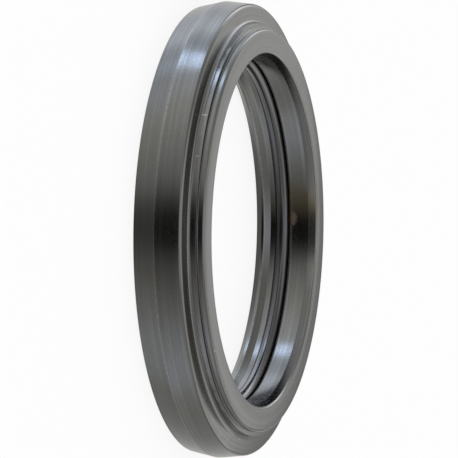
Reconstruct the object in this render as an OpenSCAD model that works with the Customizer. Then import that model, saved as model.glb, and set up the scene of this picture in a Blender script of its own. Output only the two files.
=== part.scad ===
// Sealing disc for the front of a coolant collet nut: a turned steel ring with a stepped hub,
// and a rubber seal ring seated in a groove in its bore.
// The rear face lies on Z = 0, the hub points up, and the axis is Z. All sizes are in millimetres.

/* [Rim] */
// Largest diameter, at the crown of the rim
disc_od = 35.0; // [28:0.5:45]
// Height of the crown above the rear face
crown_h = 1.75; // [0.8:0.05:2.6]
// How far the rear taper narrows the radius, from the crown to the rear face
rear_drop = 0.375; // [0.1:0.025:1]
// How far the front band narrows the radius, from the crown to the flange's face
front_drop = 0.2; // [0.05:0.025:0.6]
// Rounding of the front edge of the rim
rim_round = 0.26; // [0.1:0.02:0.5]
// Rounding of the rear edge of the rim
rear_round = 0.08; // [0.04:0.02:0.2]

/* [Flange and hub] */
// Overall height, from the rear face to the front face of the hub
disc_h = 5.0; // [4.2:0.1:8]
// Width of the flange's shoulder, from the crown in to the hub
shoulder_w = 1.7; // [1.2:0.05:2.1]
// Length of the hub, from the flange to its step
hub_len = 0.68; // [0.56:0.01:1]
// Length of the nose in front of the step
nose_len = 0.54; // [0.36:0.01:0.8]
// Width of the step between the hub and its nose
nose_step = 0.35; // [0.2:0.05:0.6]
// Fillet between the flange and the hub
hub_fillet = 0.3; // [0.1:0.02:0.44]
// Rounding of the hub's step
hub_round = 0.04; // [0.02:0.01:0.16]
// Fillet at the foot of the nose
nose_fillet = 0.04; // [0.02:0.01:0.12]
// Rounding of the nose's front edge
nose_round = 0.24; // [0.06:0.02:0.4]

/* [Bore] */
// Radial width of the ring, from the crown in to the guide lip that steadies the tool shank
ring_w = 4.45; // [3.7:0.05:9]
// Length of the guide lip's cylindrical wall
lip_len = 0.2; // [0.1:0.02:0.5]
// Width of the bevel at the rear of the guide lip
lip_bevel = 0.53; // [0.2:0.01:0.6]
// How far the bore widens the radius in front of the guide lip
bore_step = 0.32; // [0.1:0.02:0.5]
// Length of the slope that widens the bore, from the guide lip
slope_len = 0.47; // [0.2:0.01:0.7]
// How far the tapered lead-in widens the radius on its way to the front face
lead_in_step = 0.17; // [0.04:0.01:0.4]
// Length of the tapered lead-in, below the front face
lead_in_len = 0.7; // [0.5:0.05:1]
// Rounding of the bore's front edge
entry_round = 0.2; // [0.1:0.02:0.4]
// Rounding of the groove's front edge, which the groove's depth limits
mouth_round = 0.28; // [0.06:0.02:0.3]
// Rounding of the groove's rear edge
groove_round = 0.03; // [0.02:0.01:0.08]

/* [Seal ring] */
// Thickness of the seal ring's round section
seal_section = 1.0; // [0.8:0.05:1.2]
// Free play between the seal ring and the groove, along the axis
seal_play = 0.06; // [0.05:0.01:0.4]
// Height of the groove's rear wall above the rear face
groove_z = 1.63; // [1.35:0.01:1.95]
// How far the seal ring stands into the bore, clear of the guide lip
seal_proud = 0.15; // [0.05:0.05:0.2]
// Flat pressed on the back of the seal ring by the groove's floor
seal_squeeze = 0.05; // [0.02:0.01:0.08]
// Gap between the seal ring and the groove's rear wall
seal_seat_gap = 0.04; // [0.01:0.01:0.05]

/* [Hidden] */
$fn = 128;
// How far a cutting shape overlaps the solid that it trims
overlap = 0.5;
// Radii of the disc, from the crown inwards
crown_r = disc_od / 2;
front_r = crown_r - front_drop;
hub_r = crown_r - shoulder_w;
nose_r = hub_r - nose_step;
lip_r = crown_r - ring_w;
bore_r = lip_r + bore_step;
lead_in_r = bore_r + lead_in_step;
// Heights of the hub's step and of the flange's face, down from the front face
hub_h = disc_h - nose_len;
flange_h = hub_h - hub_len;
// Height at which the guide lip's wall ends, and where the slope out to the bore ends
lip_top = lip_bevel + lip_len;
slope_top = lip_top + slope_len;
// Radius and height of the middle of the seal ring's section
seal_r = lip_r - seal_proud + seal_section / 2;
seal_z = groove_z + seal_seat_gap + seal_section / 2;
// Radius of the groove's floor, and the height of its front wall
groove_floor_r = seal_r + seal_section / 2 - seal_squeeze;
groove_top = groove_z + seal_section + seal_play;
// Fillet in the groove's corners, and the rounding of its front edge, within the groove's depth
groove_depth = groove_floor_r - bore_r;
groove_fillet = min(0.1, 0.3 * groove_depth);
mouth_blend = min(mouth_round, 0.6 * groove_depth);

// Corners of the disc's section as [radius, height, blend radius], in order round the section
DISC_CORNERS = [
    [lip_r + lip_bevel, 0, 0],
    [crown_r - rear_drop, 0, rear_round],
    [crown_r, crown_h, 0],
    [front_r, flange_h, rim_round],
    [hub_r, flange_h, hub_fillet],
    [hub_r, hub_h, hub_round],
    [nose_r, hub_h, nose_fillet],
    [nose_r, disc_h, nose_round],
    [lead_in_r, disc_h, entry_round],
    [bore_r, disc_h - lead_in_len, 0],
    [bore_r, groove_top, mouth_blend],
    [groove_floor_r, groove_top, groove_fillet],
    [groove_floor_r, groove_z, groove_fillet],
    [bore_r, groove_z, groove_round],
    [bore_r, slope_top, 0],
    [lip_r, lip_top, 0],
    [lip_r, lip_bevel, 0],
];

// Unit vector from one point to another
function heading(from, to) = (to - from) / norm(to - from);

// Z part of the cross product of two plane vectors, which is positive at a convex corner
function turn(a, b) = a[0] * b[1] - a[1] * b[0];

// Distance from a corner to the points where a blend of radius r touches its two sides
function setback(back, ahead, r) = r * sqrt((1 + back * ahead) / (1 - back * ahead));

// What lies between a corner and the blend that touches both of its sides
module corner_gusset(corner, back, ahead, r) {
    reach = setback(back, ahead, r);
    middle = corner + heading([0, 0], back + ahead) * sqrt(reach * reach + r * r);
    difference() {
        polygon([corner, corner + back * reach, middle, corner + ahead * reach]);
        translate(middle) circle(r);
    }
}

// Gussets of all convex corners, or of all hollow ones
module gussets(corners, convex) {
    count = len(corners);
    for (i = [0 : count - 1]) {
        corner = [corners[i][0], corners[i][1]];
        before = corners[(i + count - 1) % count];
        after = corners[(i + 1) % count];
        back = heading(corner, [before[0], before[1]]);
        ahead = heading(corner, [after[0], after[1]]);
        if (corners[i][2] > 0 && (turn(ahead, back) > 0) == convex)
            corner_gusset(corner, back, ahead, corners[i][2]);
    }
}

// A section with its convex corners rounded and its hollow corners filleted
module blended_section(corners) {
    difference() {
        union() {
            polygon([for (c = corners) [c[0], c[1]]]);
            gussets(corners, false);
        }
        gussets(corners, true);
    }
}

// Turned steel body: tapered rim, flange, stepped hub and grooved bore
module steel_disc() {
    color("#33332f") rotate_extrude() blended_section(DISC_CORNERS);
}

// Rubber seal ring, with its back pressed flat on the groove's floor
module seal_ring() {
    color("#1d1d1c") rotate_extrude() difference() {
        translate([seal_r, seal_z]) circle(d = seal_section);
        translate([groove_floor_r, groove_z - overlap])
            square([overlap, seal_section + seal_play + 2 * overlap]);
    }
}

steel_disc();
seal_ring();
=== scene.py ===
"""Look of a collet sealing disc: a black-oxide steel ring with a rubber seal ring in its bore.

The disc lies on its rear face. Every piece is turned about the Z axis, so its sizes are radii and
heights above that face, in millimetres, and the finished meshes are in metres.
"""

import logging
import math
from collections.abc import Callable, Iterable
from dataclasses import dataclass
from enum import Enum

import bpy
from mathutils import Matrix, Vector

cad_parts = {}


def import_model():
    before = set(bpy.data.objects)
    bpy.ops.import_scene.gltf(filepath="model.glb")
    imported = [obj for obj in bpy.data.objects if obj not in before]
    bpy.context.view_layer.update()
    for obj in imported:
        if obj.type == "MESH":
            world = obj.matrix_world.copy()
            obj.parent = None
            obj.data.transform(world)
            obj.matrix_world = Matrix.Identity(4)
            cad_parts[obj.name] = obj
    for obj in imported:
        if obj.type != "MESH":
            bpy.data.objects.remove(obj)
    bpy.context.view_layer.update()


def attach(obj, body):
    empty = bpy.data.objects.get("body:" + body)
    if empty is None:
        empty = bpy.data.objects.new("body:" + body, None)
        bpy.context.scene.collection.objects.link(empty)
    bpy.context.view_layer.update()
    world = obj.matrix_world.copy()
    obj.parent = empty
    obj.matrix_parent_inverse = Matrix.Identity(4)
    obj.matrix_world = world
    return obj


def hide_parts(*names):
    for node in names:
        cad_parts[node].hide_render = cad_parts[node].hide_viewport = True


LOG = logging.getLogger("sealing_disc")

MM = 0.001
# Millimetres within which a vertex lies on a corner, and within which two vertices are merged
ON_CORNER = 2e-3
MERGED = 1e-4

Socket = bpy.types.NodeSocket
Place = tuple[float, float, float]
Colour = tuple[float, float, float]
# A smooth step: where it starts and ends, and the result before and after it
Step = tuple[float, float, float, float]
# Bands of light: degrees round the tent, brightness and tint
Bands = tuple[tuple[float, float, Colour], ...]

NEUTRAL: Colour = (1.0, 1.0, 1.0)
COOL: Colour = (0.96, 1.0, 1.10)
BLUE: Colour = (0.92, 1.0, 1.15)


class Blend(Enum):
    """How a corner of a turned section is finished."""

    SHARP = "sharp"
    ROUNDED = "rounded"


class Wear(Enum):
    """What use has done to the coat along a corner of a turned section."""

    NONE = "none"
    THINNED = "thinned"
    GRIMY = "grimy"


class Axis(Enum):
    """An axis to turn about, by the name that the rotate operator takes."""

    X = "X"
    Y = "Y"


@dataclass(frozen=True)
class Corner:
    """One corner of a turned section, with the radius of the blend that softens it."""

    radius: float
    height: float
    blend: float = 0.0
    wear: Wear = Wear.NONE

    @property
    def kind(self) -> Blend:
        """Sharp where the corner has no blend."""
        return Blend.ROUNDED if self.blend > 0 else Blend.SHARP

    def swept_through(self, point: Vector) -> bool:
        """Whether the circle that the corner sweeps round the axis passes through a point."""
        out = math.hypot(point.x, point.y) - self.radius
        return math.hypot(out, point.z - self.height) < ON_CORNER


@dataclass(frozen=True)
class Spot:
    """A small mark: degrees round the ring, place in the section, size, and length over width."""

    turn: float
    radius: float
    height: float
    size: float
    drawn_out: float = 1.0

    @property
    def centre(self) -> Place:
        """Its middle, in millimetres."""
        angle = math.radians(self.turn)
        return (self.radius * math.cos(angle), self.radius * math.sin(angle), self.height)


@dataclass(frozen=True)
class Marks:
    """Marks that run round a turned surface, as a tool or a polishing cloth leaves them."""

    to_a_millimetre: float
    to_a_radian: float
    octaves: float = 2.0
    finer: float = 0.6


def rgba(colour: Colour) -> tuple[float, float, float, float]:
    """The colour at full opacity, as a colour socket takes it."""
    return (*colour, 1.0)


class NodeGraph:
    """Short calls for building a node tree."""

    def __init__(self, tree: bpy.types.NodeTree) -> None:
        """Empties the tree.

        Args:
            tree: The node tree of a material or a world.
        """
        self.tree = tree
        tree.nodes.clear()

    def add(self, kind: str, inputs: dict[str | int, object] | None = None,
            **settings: object) -> bpy.types.Node:
        """Adds a node, sets its properties, and fills or links its inputs.

        Args:
            kind: The node's type, without the ShaderNode prefix.
            inputs: Input name or index, with a constant or the socket that feeds it.
            **settings: Properties of the node.

        Returns:
            The new node.
        """
        node = self.tree.nodes.new("ShaderNode" + kind)
        for name, value in settings.items():
            setattr(node, name, value)
        for key, value in (inputs or {}).items():
            if isinstance(value, Socket):
                self.tree.links.new(value, node.inputs[key])
            else:
                node.inputs[key].default_value = value
        return node

    def math(self, operation: str, a: Socket | float, b: Socket | float,
             clamp: bool = False) -> Socket:
        """One step of arithmetic.

        Args:
            operation: The operation's name in the node.
            a: First term.
            b: Second term.
            clamp: Whether the result is held between 0 and 1.

        Returns:
            The result.
        """
        return self.add("Math", {0: a, 1: b}, operation=operation, use_clamp=clamp).outputs[0]

    def fold(self, operation: str, terms: Iterable[Socket | float]) -> Socket:
        """The same arithmetic between all terms, from the first to the last.

        Args:
            operation: The operation's name in the node.
            terms: What is put together.

        Returns:
            The result.
        """
        result, *others = terms
        for term in others:
            result = self.math(operation, result, term)
        return result

    def swing(self, noise: Socket, strength: float) -> Socket:
        """Noise that swings about zero instead of about a half.

        Args:
            noise: The noise.
            strength: How far it swings.

        Returns:
            The scaled noise.
        """
        return self.math("MULTIPLY", self.math("SUBTRACT", noise, 0.5), strength)

    def remap(self, value: Socket, low: float, high: float,
              to_low: float = 0.0, to_high: float = 1.0) -> Socket:
        """A smooth step of a value from one range to another.

        Args:
            value: The value to map.
            low: Where the step starts.
            high: Where it ends.
            to_low: The result up to the start.
            to_high: The result from the end on.

        Returns:
            The mapped value.
        """
        inputs = {"Value": value, "From Min": low, "From Max": high,
                  "To Min": to_low, "To Max": to_high}
        return self.add("MapRange", inputs, interpolation_type="SMOOTHSTEP").outputs["Result"]

    def vector(self, operation: str, a: Socket, b: Socket | Place) -> Socket:
        """One step of vector arithmetic that gives a vector.

        Args:
            operation: The operation's name in the node.
            a: First vector.
            b: Second vector.

        Returns:
            The result.
        """
        return self.add("VectorMath", {0: a, 1: b}, operation=operation).outputs["Vector"]

    def scaled(self, vector: Socket, scale: Socket | float) -> Socket:
        """The vector, made longer or shorter.

        Args:
            vector: The vector.
            scale: How many times as long it becomes.

        Returns:
            The scaled vector.
        """
        inputs = {0: vector, "Scale": scale}
        return self.add("VectorMath", inputs, operation="SCALE").outputs["Vector"]

    def length(self, vector: Socket) -> Socket:
        """The length of a vector."""
        return self.add("VectorMath", {0: vector}, operation="LENGTH").outputs["Value"]

    def join(self, **parts: Socket | float) -> Socket:
        """A vector made of its parts, X, Y and Z, of which those left out are 0."""
        return self.add("CombineXYZ", parts).outputs[0]

    def mix(self, factor: Socket, a: Socket | Colour, b: Socket | Colour) -> Socket:
        """A blend of two colours.

        Args:
            factor: How much of the second colour shows.
            a: First colour.
            b: Second colour.

        Returns:
            The blended colour.
        """
        first, second = (c if isinstance(c, Socket) else rgba(c) for c in (a, b))
        # The node's colour sockets are numbers 6 and 7 going in, and 2 coming out
        return self.add("Mix", {0: factor, 6: first, 7: second}, data_type="RGBA").outputs[2]

    def ramp(self, value: Socket, stops: list[tuple[float, Colour]]) -> Socket:
        """A colour ramp.

        Args:
            value: Where on the ramp, from 0 to 1.
            stops: Positions and their colours, in order.

        Returns:
            The colour.
        """
        node = self.add("ValToRGB", {0: value})
        elements = node.color_ramp.elements
        while len(elements) < len(stops):
            elements.new(0.5)
        for element, (place, colour) in zip(elements, stops):
            element.position = place
            element.color = rgba(colour)
        return node.outputs["Color"]

    def glow(self, colour: Colour, strength: float) -> Socket:
        """A shader that gives off light.

        Args:
            colour: Its colour.
            strength: Its strength.

        Returns:
            The shader.
        """
        return self.add("Emission", {"Color": rgba(colour), "Strength": strength}).outputs[0]

    def seen_by_camera(self) -> Socket:
        """1 where the camera looks straight at the surface, and 0 in light and reflections."""
        return self.add("LightPath").outputs["Is Camera Ray"]


def new_material(name: str) -> tuple[bpy.types.Material, NodeGraph]:
    """Starts a material.

    Args:
        name: The material's name.

    Returns:
        The material, and its empty node graph.
    """
    material = bpy.data.materials.new(name)
    material.use_nodes = True
    return material, NodeGraph(material.node_tree)


class Lathe:
    """Turns a section into a closed ring with modelling operators."""

    @staticmethod
    def clear_selection() -> None:
        """Leaves nothing selected, the imported nodes included."""
        bpy.ops.object.select_all(action="DESELECT")

    def section(self, name: str, corners: list[Corner], segments: int) -> bpy.types.Object:
        """Draws the section as a closed outline in the XZ plane, with its corners blended.

        Args:
            name: The name of the new object.
            corners: The corners in order round the section.
            segments: Edges in each blend.

        Returns:
            The object, in edit mode.
        """
        self.clear_selection()
        bpy.ops.mesh.primitive_plane_add(size=1.0, location=(0, 0, 0))
        outline = bpy.context.object
        outline.name = outline.data.name = name
        bpy.ops.object.mode_set(mode="EDIT")
        bpy.ops.mesh.merge(type="CENTER")
        first = corners[0]
        bpy.ops.transform.translate(value=(first.radius, 0, first.height))
        for back, corner in zip(corners, corners[1:]):
            step = (corner.radius - back.radius, 0, corner.height - back.height)
            bpy.ops.mesh.extrude_vertices_move(TRANSFORM_OT_translate={"value": step})
        bpy.ops.mesh.select_mode(type="VERT")
        self.select_at(outline, [corners[0], corners[-1]])
        bpy.ops.mesh.edge_face_add()
        for at, corner in enumerate(corners):
            if corner.kind is Blend.ROUNDED:
                self.select_at(outline, [corner])
                reach = self.reach(corners[at - 1], corner, corners[(at + 1) % len(corners)])
                bpy.ops.mesh.bevel(offset=reach, segments=segments, profile=0.5, affect="VERTICES")
        return outline

    @staticmethod
    def reach(before: Corner, corner: Corner, after: Corner) -> float:
        """Distance from a corner to where its blend touches the two sides.

        Args:
            before: The corner before it.
            corner: The corner that is blended.
            after: The corner after it.

        Returns:
            The distance in millimetres.
        """
        here = Vector((corner.radius, corner.height))
        back = Vector((before.radius, before.height)) - here
        ahead = Vector((after.radius, after.height)) - here
        return corner.blend / math.tan(back.angle(ahead) / 2)

    @staticmethod
    def select_where(piece: bpy.types.Object, chosen: Callable[[Vector], bool]) -> None:
        """Selects the vertices that pass a test, and no others.

        Args:
            piece: The object in edit mode.
            chosen: Says of a vertex's place whether it is selected.
        """
        bpy.ops.mesh.select_all(action="DESELECT")
        bpy.ops.object.mode_set(mode="OBJECT")
        for vertex in piece.data.vertices:
            vertex.select = chosen(vertex.co)
        bpy.ops.object.mode_set(mode="EDIT")

    def select_at(self, outline: bpy.types.Object, corners: list[Corner]) -> None:
        """Selects the vertices at the given corners, and no others.

        Args:
            outline: The object in edit mode.
            corners: Where the vertices are.
        """
        self.select_where(outline, lambda point: any(c.swept_through(point) for c in corners))

    def turn(self, outline: bpy.types.Object, steps: int, sharp: list[Corner]) -> None:
        """Spins the outline round the Z axis and closes, scales and shades the ring.

        Args:
            outline: The section, in edit mode and in millimetres.
            steps: Facets round the ring.
            sharp: Corners whose edges stay sharp.
        """
        bpy.ops.mesh.select_all(action="SELECT")
        bpy.ops.mesh.spin(steps=steps, angle=math.tau, center=(0, 0, 0), axis=(0, 0, 1))
        bpy.ops.mesh.select_all(action="SELECT")
        bpy.ops.mesh.remove_doubles(threshold=MERGED)
        bpy.ops.mesh.normals_make_consistent(inside=False)
        bpy.ops.mesh.select_all(action="DESELECT")
        self.mark_sharp_rings(outline, sharp)
        bpy.ops.mesh.select_all(action="SELECT")
        bpy.ops.transform.resize(value=(MM, MM, MM), center_override=(0, 0, 0))
        bpy.ops.object.mode_set(mode="OBJECT")
        bpy.ops.object.shade_smooth()
        weighted = outline.modifiers.new("true_wall_normals", "WEIGHTED_NORMAL")
        weighted.keep_sharp = True
        bpy.ops.object.modifier_apply(modifier=weighted.name)

    @staticmethod
    def mark_sharp_rings(ring: bpy.types.Object, sharp: list[Corner]) -> None:
        """Marks the edges that run round the ring at each sharp corner.

        Args:
            ring: The object in edit mode, in millimetres.
            sharp: Corners whose edges stay sharp.
        """
        bpy.ops.mesh.select_mode(type="EDGE")
        for corner in sharp:
            bpy.ops.mesh.select_all(action="DESELECT")
            bpy.ops.object.mode_set(mode="OBJECT")
            vertices = ring.data.vertices
            for edge in ring.data.edges:
                edge.select = all(corner.swept_through(vertices[i].co) for i in edge.vertices)
            bpy.ops.object.mode_set(mode="EDIT")
            bpy.ops.mesh.mark_sharp()


class TurnedCoordinates:
    """Radius, height and place round the ring of a point on a turned surface, in millimetres."""

    SPOT_CORE = 0.4
    SPOT_RIM = 1.2

    def __init__(self, graph: NodeGraph) -> None:
        """Builds the nodes.

        Args:
            graph: The material's node graph.
        """
        self.graph = graph
        self.point = graph.scaled(graph.add("TexCoord").outputs["Object"], 1 / MM)
        parts = graph.add("SeparateXYZ", {0: self.point}).outputs
        flat = graph.join(X=parts["X"], Y=parts["Y"])
        self.height = parts["Z"]
        self.radius = graph.length(flat)
        self.round = graph.add("VectorMath", {0: flat}, operation="NORMALIZE").outputs["Vector"]

    def marks(self, marks: Marks) -> Socket:
        """Noise drawn out round the ring.

        Args:
            marks: How close, how long and how fine the marks are.

        Returns:
            The noise, about 0.5.
        """
        graph = self.graph
        up = graph.math("MULTIPLY", self.height, marks.to_a_millimetre)
        out = graph.math("MULTIPLY", self.radius, marks.to_a_millimetre)
        vector = graph.vector("ADD", graph.scaled(self.round, marks.to_a_radian), graph.join(Z=up))
        inputs = {"Vector": vector, "W": out, "Scale": 1.0,
                  "Detail": marks.octaves, "Roughness": marks.finer}
        return graph.add("TexNoise", inputs, noise_dimensions="4D").outputs["Fac"]

    def mottle(self, scale: float, octaves: float = 3.0) -> Socket:
        """Noise with no direction.

        Args:
            scale: Features to a millimetre.
            octaves: Octaves of finer features.

        Returns:
            The noise, about 0.5.
        """
        inputs = {"Vector": self.point, "Scale": scale, "Detail": octaves}
        return self.graph.add("TexNoise", inputs).outputs["Fac"]

    def near_edge(self, corner: Corner, width: float) -> Socket:
        """How close a point is to an edge that runs round the ring.

        Args:
            corner: Where the edge crosses the section.
            width: Distance at which the result falls to nothing.

        Returns:
            1 at the edge, and 0 from width on.
        """
        graph = self.graph
        out = graph.math("SUBTRACT", self.radius, corner.radius)
        up = graph.math("SUBTRACT", self.height, corner.height)
        return graph.remap(graph.length(graph.join(X=out, Y=up)), 0.0, width, 1.0, 0.0)

    def near_spot(self, spot: Spot, ragged: Socket) -> Socket:
        """A ragged spot on the surface.

        Args:
            spot: Its place, size and shape.
            ragged: Noise that frays its outline.

        Returns:
            1 in the spot, and 0 away from it.
        """
        graph = self.graph
        apart = graph.vector("SUBTRACT", self.point, spot.centre)
        flattened = graph.vector("MULTIPLY", apart, (1.0, 1.0, 1.0 / spot.drawn_out))
        frayed = graph.math("ADD", graph.length(flattened), graph.swing(ragged, spot.size))
        core, rim = self.SPOT_CORE * spot.size, self.SPOT_RIM * spot.size
        return graph.remap(frayed, core, rim, 1.0, 0.0)


@dataclass(frozen=True)
class BlackOxideFinish:
    """Turned steel with a black oxide coat, lightly oiled. Scales are features to a millimetre."""

    name: str = "black_oxide_steel"
    oxide: Colour = (0.134, 0.135, 0.128)
    brown: Colour = (0.122, 0.112, 0.092)
    rubbed: Colour = (0.200, 0.202, 0.200)
    bare: Colour = (0.330, 0.325, 0.300)
    grime: Colour = (0.120, 0.112, 0.098)
    stain: Colour = (0.140, 0.118, 0.072)
    rust: Colour = (0.098, 0.060, 0.038)
    patch_scale: float = 0.55
    patches: Step = (0.35, 0.70, 0.0, 0.35)
    drag: Marks = Marks(5.0, 0.7, octaves=3.0)
    streaks: Step = (0.42, 0.68, 0.0, 0.55)
    fleck_scale: float = 11.0
    flecks: Step = (0.56, 0.72, 0.0, 0.35)
    speckle_scale: float = 5.0
    edge_width: float = 0.13
    edge_wear: Step = (0.30, 0.75, 0.12, 0.45)
    nick_wear: float = 0.8
    grime_width: float = 0.34
    grime_cover: float = 0.8
    stain_turn: float = 3.5
    stain_lift: float = 0.5
    stain_spread: float = 4.5
    stain_cover: float = 0.5
    lines: Marks = Marks(7.0, 2.2, octaves=3.0)
    line_strength: float = 0.2
    line_depth: float = 0.003 * MM
    waves: Marks = Marks(1.1, 1.4)
    wave_strength: float = 0.35
    wave_depth: float = 0.010 * MM
    roughness: float = 0.20
    wave_roughness: float = 0.12
    grain_scale: float = 7.0
    grain_roughness: float = 0.22
    grime_roughness: float = 0.35
    line_roughness: float = 0.10
    rust_roughness: float = 0.45

    def material(self, corners: list[Corner], nicks: tuple[Spot, ...],
                 rust: tuple[Spot, ...]) -> bpy.types.Material:
        """Builds the finish.

        Args:
            corners: The section's corners, some of them worn or grimy.
            nicks: Small bright marks.
            rust: Small rust spots.

        Returns:
            The material.
        """
        material, graph = new_material(self.name)
        turned = TurnedCoordinates(graph)
        lines, waves = turned.marks(self.lines), turned.marks(self.waves)
        patches, speckle = turned.mottle(self.patch_scale), turned.mottle(self.speckle_scale)

        grimy = self.grimy(turned, [c for c in corners if c.wear is Wear.GRIMY])
        thinned = [c for c in corners if c.wear is Wear.THINNED]
        worn = self.worn(turned, thinned, nicks, speckle)
        rusty = graph.fold("MAXIMUM", [turned.near_spot(spot, speckle) for spot in rust])

        colour = graph.mix(worn, self.coat(turned, patches), self.bare)
        colour = graph.mix(grimy, colour, self.grime)
        for spot in rust:
            stained = turned.near_spot(self.stain_round(spot), patches)
            stained = graph.math("MULTIPLY", stained, self.stain_cover)
            colour = graph.mix(stained, colour, self.stain)
        colour = graph.mix(rusty, colour, self.rust)

        satin = graph.fold("ADD", [
            self.roughness,
            graph.swing(waves, self.wave_roughness),
            graph.swing(turned.mottle(self.grain_scale), self.grain_roughness),
            graph.math("MULTIPLY", grimy, self.grime_roughness),
            graph.swing(lines, self.line_roughness),
        ])
        rust_bloom = graph.math("MULTIPLY", rusty, self.rust_roughness)
        covered = graph.math("MAXIMUM", rusty, grimy)
        shader = graph.add("BsdfPrincipled", {
            "Base Color": colour,
            "Metallic": graph.math("SUBTRACT", 1.0, covered, clamp=True),
            "Roughness": graph.math("ADD", satin, rust_bloom, clamp=True),
            "Normal": self.relief(graph, lines, waves),
        })
        graph.add("OutputMaterial", {"Surface": shader.outputs[0]})
        return material

    def coat(self, turned: TurnedCoordinates, patches: Socket) -> Socket:
        """The coat's own colour: brown patches, and streaks and flecks where a cloth rubbed it.

        Args:
            turned: The surface's coordinates.
            patches: Broad noise that places the brown patches.

        Returns:
            The colour.
        """
        graph = turned.graph
        colour = graph.mix(graph.remap(patches, *self.patches), self.oxide, self.brown)
        colour = graph.mix(graph.remap(turned.marks(self.drag), *self.streaks), colour, self.rubbed)
        flecks = graph.remap(turned.mottle(self.fleck_scale), *self.flecks)
        return graph.mix(flecks, colour, self.rubbed)

    def worn(self, turned: TurnedCoordinates, edges: list[Corner], nicks: tuple[Spot, ...],
             speckle: Socket) -> Socket:
        """Where steel shows through the coat.

        Args:
            turned: The surface's coordinates.
            edges: Edges on which the coat is thin.
            nicks: Small bright marks.
            speckle: Fine noise that breaks up the wear.

        Returns:
            How much of the steel shows.
        """
        graph = turned.graph
        thin = graph.fold("MAXIMUM", [turned.near_edge(edge, self.edge_width) for edge in edges])
        broken = graph.math("MULTIPLY", thin, graph.remap(speckle, *self.edge_wear))
        nicked = [graph.math("MULTIPLY", turned.near_spot(nick, speckle), self.nick_wear)
                  for nick in nicks]
        return graph.fold("MAXIMUM", [broken, *nicked])

    def grimy(self, turned: TurnedCoordinates, edges: list[Corner]) -> Socket:
        """Where grime has gathered.

        Args:
            turned: The surface's coordinates.
            edges: Edges that hold grime.

        Returns:
            How much grime covers the coat.
        """
        graph = turned.graph
        close = graph.fold("MAXIMUM", [turned.near_edge(edge, self.grime_width) for edge in edges])
        return graph.math("MULTIPLY", close, self.grime_cover)

    def stain_round(self, spot: Spot) -> Spot:
        """The brown stain that has run from a rust spot."""
        return Spot(spot.turn + self.stain_turn, spot.radius, spot.height + self.stain_lift,
                    self.stain_spread * spot.size)

    def relief(self, graph: NodeGraph, lines: Socket, waves: Socket) -> Socket:
        """The fine lines and slow waves that turning leaves.

        Args:
            graph: The material's node graph.
            lines: Noise of the lines.
            waves: Noise of the waves.

        Returns:
            The normal.
        """
        fine = {"Height": lines, "Strength": self.line_strength, "Distance": self.line_depth}
        slow = {"Height": waves, "Strength": self.wave_strength, "Distance": self.wave_depth}
        return graph.add("Bump", {**slow, "Normal": graph.add("Bump", fine).outputs[0]}).outputs[0]


@dataclass(frozen=True)
class SealRubberFinish:
    """Smooth black nitrile rubber under a film of oil. Scales are features to a millimetre."""

    name: str = "seal_rubber"
    black: Colour = (0.005, 0.005, 0.005)
    dusty: Colour = (0.014, 0.013, 0.012)
    dust_scale: float = 1.6
    dust_octaves: float = 5.0
    dust: Step = (0.45, 0.80, 0.0, 0.60)
    roughness: float = 0.22
    film: Marks = Marks(2.0, 3.0)
    film_roughness: float = 0.2
    skin_scale: float = 6.0
    skin_strength: float = 0.3
    skin_depth: float = 0.003 * MM
    gloss: float = 0.8
    oil: float = 0.4
    oil_roughness: float = 0.14
    oil_ior: float = 1.6

    def material(self) -> bpy.types.Material:
        """Builds the finish.

        Returns:
            The material.
        """
        material, graph = new_material(self.name)
        turned = TurnedCoordinates(graph)
        dust = graph.remap(turned.mottle(self.dust_scale, self.dust_octaves), *self.dust)
        film = graph.swing(turned.marks(self.film), self.film_roughness)
        skin = graph.add("Bump", {"Height": turned.mottle(self.skin_scale),
                                  "Strength": self.skin_strength, "Distance": self.skin_depth})
        shader = graph.add("BsdfPrincipled", {
            "Base Color": graph.mix(dust, self.black, self.dusty),
            "Roughness": graph.math("ADD", self.roughness, film),
            "Normal": skin.outputs[0],
            "Specular IOR Level": self.gloss,
            "Coat Weight": self.oil,
            "Coat Roughness": self.oil_roughness,
            "Coat IOR": self.oil_ior,
        })
        graph.add("OutputMaterial", {"Surface": shader.outputs[0]})
        return material


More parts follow.
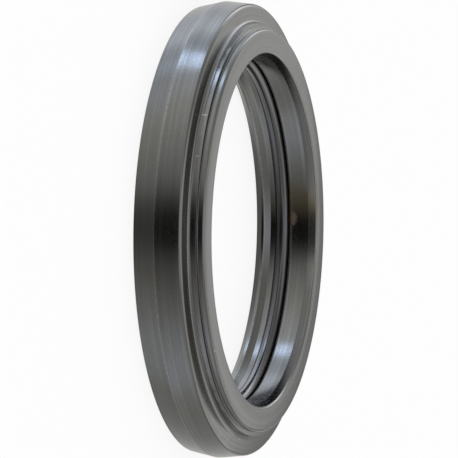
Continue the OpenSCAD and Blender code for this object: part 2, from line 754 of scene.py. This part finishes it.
@dataclass
class SteelDisc:
    """The turned steel body: tapered rim, flange, stepped hub and grooved bore, in millimetres."""

    lathe: Lathe
    crown_r: float = 17.5
    crown_h: float = 1.75
    rear_drop: float = 0.375
    rear_round: float = 0.08
    front_drop: float = 0.2
    rim_round: float = 0.26
    disc_h: float = 5.0
    shoulder_w: float = 1.7
    hub_len: float = 0.68
    hub_fillet: float = 0.3
    hub_round: float = 0.02
    nose_len: float = 0.54
    nose_step: float = 0.35
    nose_fillet: float = 0.04
    nose_round: float = 0.24
    ring_w: float = 4.45
    lip_len: float = 0.2
    lip_bevel: float = 0.53
    bore_step: float = 0.32
    slope_len: float = 0.47
    lead_in_step: float = 0.17
    lead_in_len: float = 0.7
    entry_round: float = 0.2
    groove_z: float = 1.63
    groove_w: float = 1.06
    groove_floor_r: float = 13.85
    groove_fillet: float = 0.1
    groove_round: float = 0.03
    mouth_round: float = 0.28
    blend_segments: int = 7
    steps: int = 288
    nicks: tuple[Spot, ...] = (
        Spot(-16.5, 13.61, 5.00, 0.10), Spot(-27.8, 13.78, 5.00, 0.09),
        Spot(-7.6, 16.10, 3.78, 0.10), Spot(-54.0, 15.32, 5.00, 0.09),
        Spot(-122.8, 15.80, 4.18, 0.07, drawn_out=4.0),
        Spot(-110.3, 15.80, 4.16, 0.06, drawn_out=3.0),
    )
    rust: tuple[Spot, ...] = (Spot(93.6, 13.40, 2.84, 0.50), Spot(94.6, 13.36, 2.96, 0.38))

    @property
    def corners(self) -> list[Corner]:
        """The section's corners.

        Returns:
            The corners, in order round the section.
        """
        hub_r = self.crown_r - self.shoulder_w
        nose_r = hub_r - self.nose_step
        lip_r = self.crown_r - self.ring_w
        bore_r = lip_r + self.bore_step
        hub_h = self.disc_h - self.nose_len
        flange_h = hub_h - self.hub_len
        lip_top = self.lip_bevel + self.lip_len
        groove_top = self.groove_z + self.groove_w
        return [
            Corner(lip_r + self.lip_bevel, 0.0),
            Corner(self.crown_r - self.rear_drop, 0.0, self.rear_round),
            Corner(self.crown_r, self.crown_h, wear=Wear.THINNED),
            Corner(self.crown_r - self.front_drop, flange_h, self.rim_round),
            Corner(hub_r, flange_h, self.hub_fillet),
            Corner(hub_r, hub_h, self.hub_round),
            Corner(nose_r, hub_h, self.nose_fillet),
            Corner(nose_r, self.disc_h, self.nose_round, Wear.THINNED),
            Corner(bore_r + self.lead_in_step, self.disc_h, self.entry_round, Wear.THINNED),
            Corner(bore_r, self.disc_h - self.lead_in_len),
            Corner(bore_r, groove_top, self.mouth_round, Wear.GRIMY),
            Corner(self.groove_floor_r, groove_top, self.groove_fillet),
            Corner(self.groove_floor_r, self.groove_z, self.groove_fillet),
            Corner(bore_r, self.groove_z, self.groove_round),
            Corner(bore_r, lip_top + self.slope_len),
            Corner(lip_r, lip_top, wear=Wear.THINNED),
            Corner(lip_r, self.lip_bevel),
        ]

    def build(self) -> bpy.types.Object:
        """Models and dresses the disc.

        Returns:
            The disc.
        """
        corners = self.corners
        disc = self.lathe.section("turned_disc", corners, self.blend_segments)
        self.lathe.turn(disc, self.steps, [c for c in corners if c.kind is Blend.SHARP])
        disc.data.materials.append(BlackOxideFinish().material(corners, self.nicks, self.rust))
        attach(disc, "root")
        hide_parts("steel_disc")
        return disc


@dataclass
class SealRing:
    """The rubber ring seated in the bore's groove, its back pressed flat, in millimetres."""

    lathe: Lathe
    section: float = 1.0
    middle_r: float = 13.4
    middle_h: float = 2.17
    floor_r: float = 13.85
    sides: int = 48
    steps: int = 240

    def build(self) -> bpy.types.Object:
        """Models and dresses the seal ring.

        Returns:
            The seal ring.
        """
        self.lathe.clear_selection()
        bpy.ops.mesh.primitive_circle_add(
            vertices=self.sides, radius=self.section / 2,
            location=(self.middle_r, 0, self.middle_h), rotation=(math.pi / 2, 0, 0))
        ring = bpy.context.object
        ring.name = ring.data.name = "seal_ring_rubber"
        bpy.ops.object.transform_apply(location=True, rotation=True, scale=True)
        bpy.ops.object.mode_set(mode="EDIT")
        bpy.ops.mesh.select_mode(type="VERT")
        self.lathe.select_where(ring, lambda point: point.x > self.floor_r)
        flat_back = (self.floor_r, 0, self.middle_h)
        bpy.ops.transform.resize(value=(0, 1, 1), center_override=flat_back)
        self.lathe.turn(ring, self.steps, [])
        ring.data.materials.append(SealRubberFinish().material())
        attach(ring, "root")
        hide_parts("seal_ring")
        return ring


@dataclass(frozen=True)
class PhotoCamera:
    """A distant camera, low over the rear face's plane, turned so that the hub points right."""

    distance: float = 0.44494
    elevation: float = 17.64
    roll: float = -0.999
    aim_right: float = 0.001908
    focal: float = 455.3
    sensor: float = 36.0
    clip: tuple[float, float] = (0.01, 20.0)

    @property
    def turn(self) -> Matrix:
        """How the camera is turned.

        Returns:
            The view's right, up and backward directions in the disc's frame, as columns.
        """
        elevation, roll = math.radians(self.elevation), math.radians(self.roll)
        level = math.cos(elevation)
        axis = Vector((level * math.cos(roll), level * math.sin(roll), math.sin(elevation)))
        top = (Vector((0, 1, 0)) - axis * axis.y).normalized()
        return Matrix((-top, -axis.cross(top), axis))

    def place(self) -> bpy.types.Object:
        """Adds the camera to the scene.

        Returns:
            The camera.
        """
        turn = self.turn
        offset = Vector((self.aim_right, 0.0, self.distance))
        data = bpy.data.cameras.new("photo_camera")
        data.lens, data.sensor_width = self.focal, self.sensor
        data.clip_start, data.clip_end = self.clip
        camera = bpy.data.objects.new("photo_camera", data)
        camera.matrix_world = Matrix.Translation(turn @ offset) @ turn.to_4x4()
        bpy.context.scene.collection.objects.link(camera)
        bpy.context.scene.camera = camera
        return camera


@dataclass(frozen=True)
class Floor:
    """The pale paper under the disc, white to the camera but for a faint shadow, in metres."""

    size: float = 6.0
    paper: Colour = (0.9, 0.9, 0.9)
    shade: float = 0.14

    def build(self) -> bpy.types.Object:
        """Adds the floor.

        Returns:
            The floor.
        """
        Lathe.clear_selection()
        bpy.ops.mesh.primitive_plane_add(size=self.size, location=(0, 0, 0))
        floor = bpy.context.object
        floor.name = "floor"
        floor.visible_glossy = False
        material, graph = new_material("floor_paper")
        paper = graph.add("BsdfDiffuse", {"Color": rgba(self.paper)}).outputs[0]
        share = graph.math("MULTIPLY", graph.seen_by_camera(), 1.0 - self.shade)
        surface = graph.add("MixShader", {0: share, 1: paper, 2: graph.glow(NEUTRAL, 1.0)})
        graph.add("OutputMaterial", {"Surface": surface.outputs[0]})
        floor.data.materials.append(material)
        return floor


@dataclass(frozen=True)
class Card:
    """A glowing card that only reflections see, in metres.

    It is stood up about one axis, sized, slanted about another and moved to its place.
    """

    name: str
    stand: Axis
    size: Place
    slant: Axis
    slant_angle: float
    place: Place
    level: float
    colour: Colour = NEUTRAL

    def build(self) -> bpy.types.Object:
        """Adds the card.

        Returns:
            The card.
        """
        Lathe.clear_selection()
        bpy.ops.mesh.primitive_plane_add(size=1.0, location=(0, 0, 0))
        card = bpy.context.object
        card.name = self.name
        bpy.ops.object.mode_set(mode="EDIT")
        self.rotate(self.stand, 90.0)
        bpy.ops.transform.resize(value=self.size, center_override=(0, 0, 0))
        self.rotate(self.slant, self.slant_angle)
        bpy.ops.transform.translate(value=self.place)
        bpy.ops.object.mode_set(mode="OBJECT")
        card.visible_camera = card.visible_diffuse = card.visible_shadow = False
        material, graph = new_material(self.name)
        graph.add("OutputMaterial", {"Surface": graph.glow(self.colour, self.level)})
        card.data.materials.append(material)
        return card

    @staticmethod
    def rotate(axis: Axis, degrees: float) -> None:
        """Turns what is selected about an axis through the origin."""
        bpy.ops.transform.rotate(
            value=math.radians(degrees), orient_axis=axis.value, center_override=(0, 0, 0))


@dataclass(frozen=True)
class LightTent:
    """Bands of light that run along the disc's axis, with a dark gap beside the camera.

    The walls lie level with the disc or below it. The front and upper bands follow towards the
    zenith. Heights are the part of a direction that points up, from -1 to 1.
    """

    level: float = 4.0
    walls: Bands = (
        (-180, 0.68, NEUTRAL), (-150, 0.68, NEUTRAL), (-110, 0.72, NEUTRAL), (-95, 0.80, NEUTRAL),
        (-80, 1.15, COOL), (-65, 1.12, COOL), (-42, 0.66, NEUTRAL), (-24, 0.36, NEUTRAL),
        (-14, 0.20, NEUTRAL), (-7, 0.02, NEUTRAL), (7, 0.02, NEUTRAL), (14, 0.17, NEUTRAL),
        (24, 0.60, NEUTRAL), (40, 0.93, NEUTRAL), (60, 1.30, NEUTRAL), (80, 1.60, COOL),
        (108, 1.40, BLUE), (120, 2.10, BLUE), (140, 1.15, COOL), (160, 0.80, NEUTRAL),
        (180, 0.68, NEUTRAL),
    )
    front: Bands = (
        (-180, 0.92, NEUTRAL), (-164, 1.40, NEUTRAL), (-145, 1.30, NEUTRAL), (-124, 0.70, NEUTRAL),
        (-100, 0.62, NEUTRAL), (-40, 0.80, NEUTRAL), (-20, 1.10, NEUTRAL), (-12, 0.20, NEUTRAL),
        (-7, 0.02, NEUTRAL), (8, 0.02, NEUTRAL), (14, 0.30, NEUTRAL), (24, 1.40, NEUTRAL),
        (40, 1.05, NEUTRAL), (94, 0.95, NEUTRAL), (108, 1.15, COOL), (124, 1.90, BLUE),
        (144, 3.00, COOL), (160, 2.60, NEUTRAL), (174, 1.00, NEUTRAL), (180, 0.92, NEUTRAL),
    )
    upper: Bands = (
        (-180, 0.90, NEUTRAL), (-120, 1.50, NEUTRAL), (-100, 1.05, NEUTRAL), (-60, 0.68, NEUTRAL),
        (-35, 0.58, NEUTRAL), (-20, 0.92, COOL), (5, 1.10, COOL), (20, 0.92, COOL),
        (38, 0.58, NEUTRAL), (90, 0.60, NEUTRAL), (120, 0.70, NEUTRAL), (150, 0.90, NEUTRAL),
        (180, 0.90, NEUTRAL),
    )
    zenith: float = 1.35
    dimming: tuple[Step, ...] = (
        (-0.12, 0.02, 1.0, 0.5), (-0.66, -0.42, 0.75, 1.0), (-0.90, -0.70, 0.28, 1.0))
    haze: tuple[Step, ...] = ((-0.17, 0.12, 0.0, 0.17), (-0.70, -0.45, 0.20, 0.0))
    front_from: tuple[float, float] = (0.10, 0.26)
    upper_from: tuple[float, float] = (0.34, 0.50)
    zenith_from: tuple[float, float] = (0.80, 0.95)

    def build(self) -> None:
        """Builds the world, which the camera sees as plain white."""
        world = bpy.data.worlds.new("light_tent")
        bpy.context.scene.world = world
        world.use_nodes = True
        graph = NodeGraph(world.node_tree)
        tent = graph.add("Background", {"Color": self.light(graph), "Strength": self.level})
        white = graph.add("Background", {"Color": rgba(NEUTRAL), "Strength": 1.0})
        surface = graph.add("MixShader", {0: graph.seen_by_camera(), 1: tent.outputs[0],
                                          2: white.outputs[0]})
        graph.add("OutputWorld", {"Surface": surface.outputs[0]})

    def light(self, graph: NodeGraph) -> Socket:
        """The colour of the tent in each direction.

        Args:
            graph: The world's node graph.

        Returns:
            The colour, as a share of the tent's level.
        """
        towards = graph.add("SeparateXYZ", {0: graph.add("TexCoord").outputs["Generated"]}).outputs
        top, near = (graph.math("MULTIPLY", towards[axis], -1.0) for axis in ("X", "Y"))
        turn = graph.math("MULTIPLY", graph.math("ARCTAN2", top, near), 180 / math.pi)
        place = graph.math("ADD", graph.math("DIVIDE", turn, 360.0), 0.5)
        height = towards["Z"]

        kept = graph.fold("MULTIPLY", [graph.remap(height, *step) for step in self.dimming])
        haze = graph.fold("ADD", [
            graph.remap(height, low, high, before / self.level, after / self.level)
            for low, high, before, after in self.haze])
        walls = graph.scaled(self.bands(graph, place, self.walls), kept)
        light = graph.vector("ADD", walls, graph.join(X=haze, Y=haze, Z=haze))
        for above, joins in ((self.front, self.front_from), (self.upper, self.upper_from)):
            light = graph.mix(graph.remap(height, *joins), light, self.bands(graph, place, above))
        zenith = (self.zenith / self.level,) * 3
        return graph.mix(graph.remap(height, *self.zenith_from), light, zenith)

    def bands(self, graph: NodeGraph, place: Socket, bands: Bands) -> Socket:
        """Bands of light round the tent.

        Args:
            graph: The world's node graph.
            place: Where a direction lies round the tent, from 0 to 1.
            bands: The bands, in order.

        Returns:
            The colour, as a share of the tent's level.
        """
        return graph.ramp(place, [
            (0.5 + degrees / 360, tuple(brightness * part / self.level for part in tint))
            for degrees, brightness, tint in bands])


@dataclass(frozen=True)
class Studio:
    """The floor, and the soft light round the disc as the steel reflects it."""

    floor: Floor = Floor()
    lamp: Card = Card(
        "strip_lamp", stand=Axis.Y, size=(1.0, 0.034, 0.125), slant=Axis.X, slant_angle=-9.0,
        place=(-0.20, 0.002, -0.056), level=4.4, colour=(0.82, 1.00, 1.35))
    screen: Card = Card(
        "far_screen", stand=Axis.X, size=(0.090, 1.0, 0.011), slant=Axis.Y, slant_angle=9.5,
        place=(0.0, 0.045, 0.010), level=0.38)
    tent: LightTent = LightTent()

    def build(self) -> None:
        """Builds the floor, the strip lamp, the low screen at the far side, and the tent."""
        for part in (self.floor, self.lamp, self.screen, self.tent):
            part.build()


def main() -> None:
    """Builds the scene in order, and reports each piece."""
    logging.basicConfig(level=logging.INFO, format="%(name)s: %(message)s")
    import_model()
    bpy.context.scene.view_settings.view_transform = "Standard"
    lathe = Lathe()
    for piece in (SteelDisc(lathe), SealRing(lathe)):
        made = piece.build()
        LOG.info("%s: %d faces", made.name, len(made.data.polygons))
    PhotoCamera().place()
    Studio().build()
    LOG.info("camera and studio placed")


if __name__ == "__main__":
    main()
